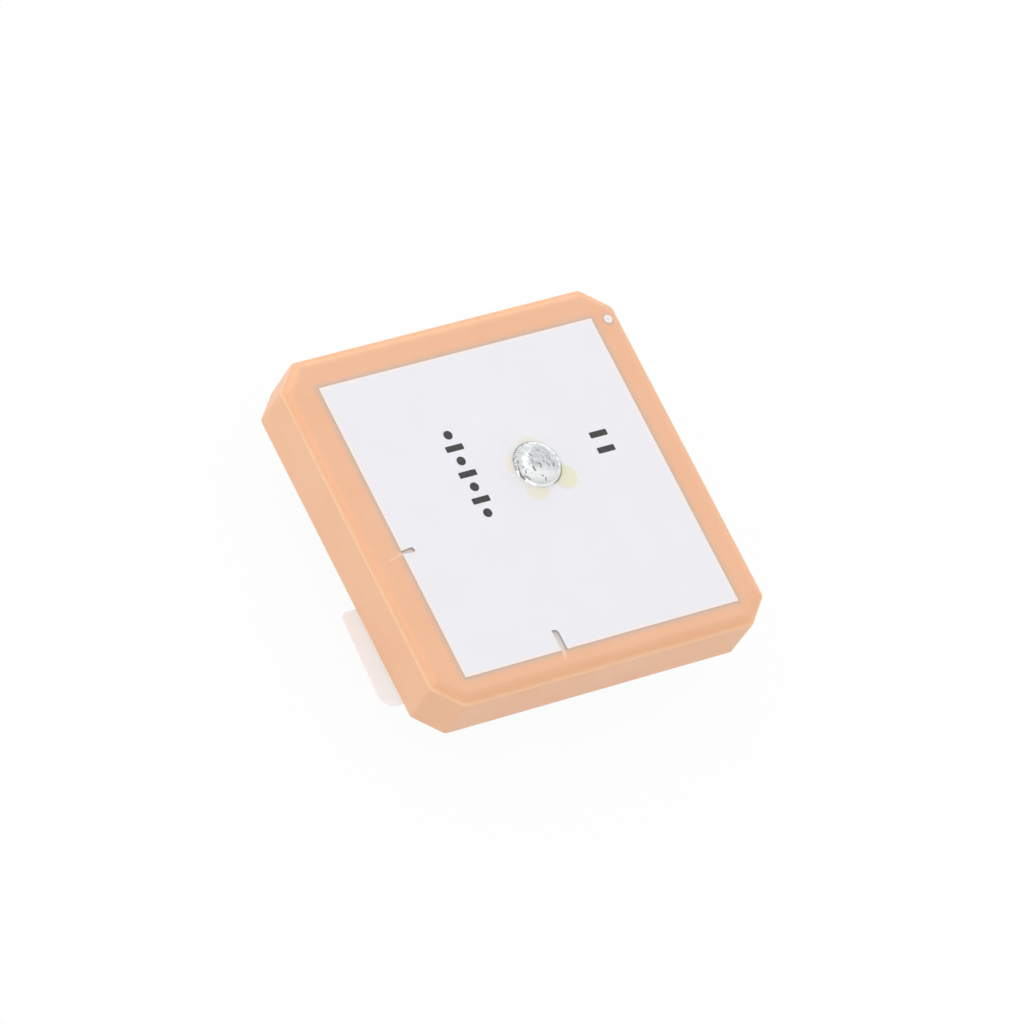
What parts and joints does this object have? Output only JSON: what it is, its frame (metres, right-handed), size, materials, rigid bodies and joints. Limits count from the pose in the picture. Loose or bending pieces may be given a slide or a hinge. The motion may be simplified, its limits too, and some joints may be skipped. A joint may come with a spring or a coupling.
{
  "type": "ceramic gps patch antenna",
  "caption": "Square ceramic patch antenna with a pin feed, a silver patch, a solder cap over the pin's head and an adhesive pad with a release film.",
  "frame": {"origin": "centre of the mounting face, on the underside of the release film, under the centre of the ceramic block", "axes": "+Z out of the radiating side, +X and +Y along the block's sides, with the film's pull tab towards -X and -Y"},
  "size_m": [0.0262, 0.025, 0.0073],
  "materials": {
    "ceramic": "unglazed, pressed and fired, with a faint grain",
    "fired_silver": "screen-printed silver, matte",
    "tinned_pin": "tin-plated, satin",
    "solder": "reflowed tin, bright with dull specks",
    "flux": "dried pale yellow film",
    "ink": "printed, matte",
    "adhesive": "acrylic foam tape",
    "film": "translucent release film"
  },
  "bodies": {
    "root": {"ceramic_body": "ceramic", "patch_electrode": "fired_silver", "ground_electrode": "fired_silver", "corner_dot": "fired_silver", "feed_pin": "tinned_pin", "solder_cap": "solder", "flux_film": "flux", "lot_marks": "ink", "grade_marks": "ink", "adhesive_pad": "adhesive", "release_film": "film"}
  },
  "joints": []
}
